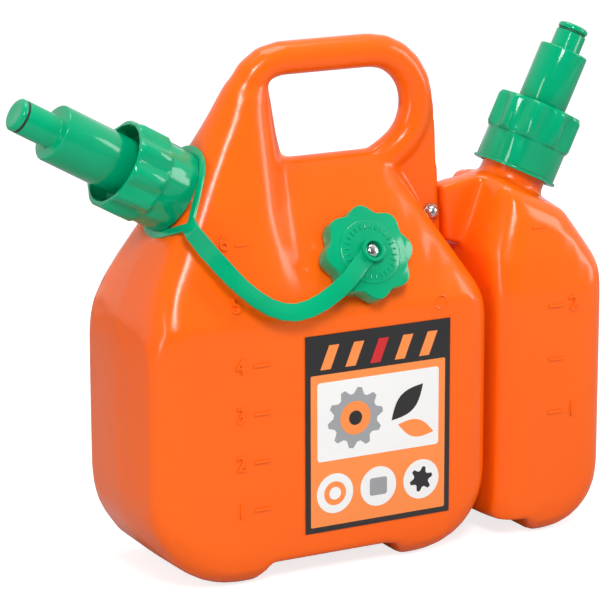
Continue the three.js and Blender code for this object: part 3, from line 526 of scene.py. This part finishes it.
# %% Label finishes
label_low, label_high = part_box("label")
label_wide = label_high[0] - label_low[0]
label_tall = label_high[2] - label_low[2]
film_black = finish_of("film black", (0.012, 0.011, 0.012), (0.02, 0.019, 0.02), 0.25, 0.35, 0.1, 1800)
film_orange = finish_of("film orange", (0.95, 0.27, 0.06), (0.9, 0.24, 0.05), 0.25, 0.35, 0.1, 1800)
film_white = finish_of("film white", (0.86, 0.86, 0.84), (0.8, 0.8, 0.79), 0.25, 0.35, 0.1, 1800)
film_grey = finish_of("film grey", (0.33, 0.34, 0.35), (0.28, 0.29, 0.3), 0.25, 0.35, 0.1, 1800)
film_red = finish_of("film red", (0.62, 0.015, 0.02), (0.5, 0.012, 0.016), 0.25, 0.35, 0.1, 1800)
nodes["label"].data.materials.clear()
nodes["label"].data.materials.append(film_black)
print("label", round(label_wide, 4), round(label_tall, 4))


# %% Plates for the label
plate_step = 0.00006


def plate(name, corners, layer, material):
    """Flat shape in shares of the label's width and height, one thin step above the last."""
    bpy.ops.object.select_all(action="DESELECT")
    bpy.ops.mesh.primitive_circle_add(vertices=len(corners), fill_type="NGON", radius=0.01)
    piece = bpy.context.object
    piece.name = name
    depth = label_low[1] - plate_step * (layer + 0.5)
    for vert, (across, up) in zip(piece.data.vertices, corners):
        vert.co = (label_low[0] + across * label_wide, depth, label_low[2] + up * label_tall)
    piece.matrix_world = Matrix.Identity(4)
    thick = piece.modifiers.new("film", "SOLIDIFY")
    thick.thickness = plate_step * 0.9
    thick.offset = 0
    apply_all(piece)
    bpy.ops.object.mode_set(mode="EDIT")
    bpy.ops.mesh.select_all(action="SELECT")
    bpy.ops.mesh.normals_make_consistent(inside=False)
    bpy.ops.object.mode_set(mode="OBJECT")
    piece.data.materials.append(material)
    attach(piece, "cans")
    return piece


def rounded(left, low, right, high, radius=0.02, steps=4):
    aspect = label_wide / label_tall
    points = []
    for cx, cz, start in ((right, high, 0), (left, high, 90), (left, low, 180), (right, low, 270)):
        inner_x = cx - radius if cx == right else cx + radius
        inner_z = cz - radius * aspect if cz == high else cz + radius * aspect
        for k in range(steps + 1):
            angle = math.radians(start + 90 * k / steps)
            points.append((inner_x + radius * math.cos(angle), inner_z + radius * aspect * math.sin(angle)))
    return points


def round_spot(cx, cz, radius, steps=28):
    aspect = label_wide / label_tall
    return [(cx + radius * math.cos(2 * math.pi * k / steps),
             cz + radius * aspect * math.sin(2 * math.pi * k / steps)) for k in range(steps)]


plate("label_field", rounded(0.035, 0.028, 0.965, 0.8, 0.006, 1), 0, film_orange)
plate("label_big_panel", rounded(0.08, 0.36, 0.92, 0.76), 1, film_white)
for spot in range(3):
    plate(f"label_disc_{spot}", round_spot(0.2 + spot * 0.3, 0.19, 0.125), 1, film_white)
print("label panels placed")


# %% Simple pictures on the label
def toothed(cx, cz, radius, teeth, depth):
    aspect = label_wide / label_tall
    points = []
    for k in range(teeth * 4):
        reach = radius if k % 4 in (0, 1) else radius * (1 - depth)
        angle = 2 * math.pi * (k + 0.5) / (teeth * 4)
        points.append((cx + reach * math.cos(angle), cz + reach * aspect * math.sin(angle)))
    return points


def leaf(cx, cz, length, width, tilt, steps=10):
    """Pointed oval: two arcs that meet at both ends, turned by tilt."""
    aspect = label_wide / label_tall
    outline = [(t / steps, math.sin(math.pi * t / steps)) for t in range(steps + 1)]
    outline += [(1 - t / steps, -math.sin(math.pi * t / steps)) for t in range(1, steps)]
    points = []
    for t, bulge in outline:
        x, z = (t - 0.5) * length, bulge * width / 2
        points.append((cx + x * math.cos(tilt) - z * math.sin(tilt),
                       cz + aspect * (x * math.sin(tilt) + z * math.cos(tilt))))
    return points


plate("label_wheel", toothed(0.34, 0.56, 0.19, 10, 0.2), 2, film_grey)
plate("label_wheel_ring", round_spot(0.34, 0.56, 0.105), 3, film_orange)
plate("label_wheel_middle", round_spot(0.34, 0.56, 0.045), 4, film_black)
plate("label_leaf_a", leaf(0.7, 0.6, 0.3, 0.13, 0.75), 2, film_black)
plate("label_leaf_b", leaf(0.76, 0.46, 0.26, 0.11, -0.3), 2, film_orange)
for step in range(5):
    left = 0.1 + step * 0.17
    corners = [(left, 0.825), (left + 0.07, 0.825), (left + 0.13, 0.945), (left + 0.06, 0.945)]
    plate(f"label_slant_{step}", corners, 2, film_red if step == 2 else film_orange)
plate("label_ring_a", round_spot(0.2, 0.19, 0.075), 2, film_orange)
plate("label_ring_a_hole", round_spot(0.2, 0.19, 0.04), 3, film_white)
plate("label_square", rounded(0.44, 0.145, 0.56, 0.235, 0.015), 2, film_grey)
plate("label_small_wheel", toothed(0.8, 0.19, 0.08, 6, 0.35), 2, film_black)
print("label pictures placed")

# %% [markdown]
# Litre marks are raised in the mould: a short bar and a plain numeral for each litre. The
# numerals are text made into mesh, so that their place can be applied, and they stand just proud.

# %% Litre marks
mark_y = PARTING_Y - FRONT_DEPTH - 0.3 * MM


def settle(piece):
    piece.data.transform(piece.matrix_world)
    piece.matrix_world = Matrix.Identity(4)
    bpy.ops.object.mode_set(mode="EDIT")
    bpy.ops.mesh.select_all(action="SELECT")
    bpy.ops.mesh.remove_doubles(threshold=0.00001)
    bpy.ops.mesh.normals_make_consistent(inside=False)
    bpy.ops.object.mode_set(mode="OBJECT")
    piece.data.materials.append(orange)
    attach(piece, "cans")


def raised_numeral(text, x, z, size=0.0155):
    bpy.ops.object.select_all(action="DESELECT")
    bpy.ops.object.text_add()
    piece = bpy.context.object
    piece.data.body = text
    piece.data.size = size
    piece.data.align_x = "CENTER"
    piece.data.align_y = "CENTER"
    piece.data.extrude = 0.0009
    piece.data.bevel_depth = 0.00015
    piece.name = f"numeral_{text}_{'large' if x < 0.1 else 'small'}"
    bpy.ops.object.convert(target="MESH")
    piece = bpy.context.object
    piece.matrix_world = Matrix.Translation((x, mark_y, z)) @ Matrix.Rotation(math.pi / 2, 4, "X")
    settle(piece)
    return piece


def raised_bar(name, x, z, length=0.0125):
    bpy.ops.object.select_all(action="DESELECT")
    bpy.ops.mesh.primitive_cube_add(size=1, location=(x, mark_y, z), scale=(length, 0.002, 0.0021))
    piece = bpy.context.object
    piece.name = name
    edge = piece.modifiers.new("soft edge", "BEVEL")
    edge.width = 0.0003
    edge.segments = 2
    bpy.ops.object.transform_apply(location=False, rotation=False, scale=True)
    apply_all(piece)
    piece.matrix_world = Matrix.Translation((x, mark_y, z))
    settle(piece)
    return piece


litre_step = 33.56 * MM
first_litre = 55.0 * MM
for litre in range(1, 5):
    z = first_litre + litre_step * (litre - 1)
    raised_bar(f"large_bar_{litre}", -0.052 + X_SHIFT, z)
    raised_numeral(str(litre), -0.068 + X_SHIFT, z)
for mark, z in (("1", 0.0911), ("2", 0.1684)):
    raised_bar(f"small_bar_{mark}", 0.181 + X_SHIFT, z)
    raised_numeral(mark, 0.195 + X_SHIFT, z)
raised_bar("small_bar_half", 0.181 + X_SHIFT, 0.1298)
print("litre marks placed")

# %% [markdown]
# The upper marks stand on sloping parts of the cans. A straight line from the lens through the
# mark's place in the picture meets the skin, and the mark is laid on the skin there, square to it.

# %% Marks on the slopes
def on_skin(piece, across, down):
    """Point and direction of the skin seen at a place in the 600 by 600 picture."""
    step = camera.data.sensor_width / camera.data.lens / 600
    line = camera_right * (across - 300) * step - camera_up * (down - 300) * step - camera_back
    line.normalize()
    surface = BVHTree.FromObject(piece, bpy.context.evaluated_depsgraph_get())
    hit, normal, _, _ = surface.ray_cast(camera_place, line)
    return hit, normal


def laid_on(piece, hit, normal, sink):
    side = Vector((1, 0, 0))
    side = (side - normal * side.dot(normal)).normalized()
    upward = normal.cross(side)
    turn = Matrix((side, upward, normal)).transposed().to_4x4()
    piece.matrix_world = Matrix.Translation(hit - normal * sink) @ turn


def slope_bar(name, carrier, across, down, length=0.011):
    hit, normal = on_skin(carrier, across, down)
    bpy.ops.object.select_all(action="DESELECT")
    bpy.ops.mesh.primitive_cube_add(size=1, scale=(length, 0.0021, 0.002))
    piece = bpy.context.object
    piece.name = name
    bpy.ops.object.transform_apply(location=False, rotation=False, scale=True)
    edge = piece.modifiers.new("soft edge", "BEVEL")
    edge.width = 0.0003
    edge.segments = 2
    apply_all(piece)
    laid_on(piece, hit, normal, 0.0002)
    settle(piece)


def slope_numeral(text, name, carrier, across, down, size=0.0155):
    hit, normal = on_skin(carrier, across, down)
    bpy.ops.object.select_all(action="DESELECT")
    bpy.ops.object.text_add()
    piece = bpy.context.object
    piece.data.body = text
    piece.data.size = size
    piece.data.align_x = "CENTER"
    piece.data.align_y = "CENTER"
    piece.data.extrude = 0.0011
    piece.data.bevel_depth = 0.00015
    bpy.ops.object.convert(target="MESH")
    piece = bpy.context.object
    piece.name = name
    laid_on(piece, hit, normal, -0.0002)
    settle(piece)


slope_bar("large_bar_6", large_skin, 242, 245)
slope_numeral("6", "numeral_6_large", large_skin, 223, 244)
slope_bar("large_bar_5", large_skin, 258, 306)
slope_numeral("5", "numeral_5_large", large_skin, 236, 307)
slope_bar("small_bar_top", small_skin, 539, 227)
hit, normal = on_skin(large_skin, 441, 302)
bpy.ops.object.select_all(action="DESELECT")
bpy.ops.mesh.primitive_torus_add(major_radius=0.0046, minor_radius=0.0006, major_segments=40, minor_segments=8)
mould_ring = bpy.context.object
mould_ring.name = "mould_ring"
laid_on(mould_ring, hit, normal, 0.0001)
settle(mould_ring)
print("marks on slopes placed")

# %% [markdown]
# The cap's face has a raised ring of small grip bars round its middle. One bar is modelled and
# then copied round the cap's axis, each copy with its own mesh, and all are joined.

# %% Bars on the cap's face
ROOF_BREAK = 184 * MM
RIDGE_HEIGHT = 282 * MM
RIDGE_DEPTH = 9 * MM
CAP_X = 31.7 * MM
CAP_SEAT_HEIGHT = 215.7 * MM
BARS_ON_CAP = 28
slope = (FRONT_DEPTH - RIDGE_DEPTH) / (RIDGE_HEIGHT - ROOF_BREAK)
cap_axis = Vector((0, -math.cos(math.atan(slope)), math.sin(math.atan(slope))))
cap_seat = Vector((CAP_X + X_SHIFT,
                   PARTING_Y - FRONT_DEPTH + (CAP_SEAT_HEIGHT - ROOF_BREAK) * slope,
                   CAP_SEAT_HEIGHT))
cap_down = Vector((0, -1, 0)) - cap_axis * Vector((0, -1, 0)).dot(cap_axis)
cap_down.normalize()
cap_side = cap_axis.cross(cap_down)
cap_frame = Matrix((cap_down, cap_side, cap_axis)).transposed().to_4x4()
face_height = 17.7 * MM
bars = []
for turn in range(BARS_ON_CAP):
    bpy.ops.object.select_all(action="DESELECT")
    bpy.ops.mesh.primitive_cube_add(size=1, scale=(0.0034, 0.0012, 0.0012))
    bar = bpy.context.object
    bpy.ops.object.transform_apply(location=False, rotation=False, scale=True)
    edge = bar.modifiers.new("soft edge", "BEVEL")
    edge.width = 0.00025
    edge.segments = 2
    apply_all(bar)
    around = Matrix.Rotation(2 * math.pi * turn / BARS_ON_CAP, 4, "Z")
    out = Matrix.Translation((0.0178, 0, face_height))
    bar.data.transform(Matrix.Translation(cap_seat) @ cap_frame @ around @ out)
    bars.append(bar)
bpy.ops.object.select_all(action="DESELECT")
for bar in bars:
    bar.select_set(True)
bpy.context.view_layer.objects.active = bars[0]
bpy.ops.object.join()
cap_bars = bpy.context.object
cap_bars.name = "cap_face_bars"
cap_bars.data.materials.append(green)
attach(cap_bars, "screw_cap")
print("cap bars", len(bars))
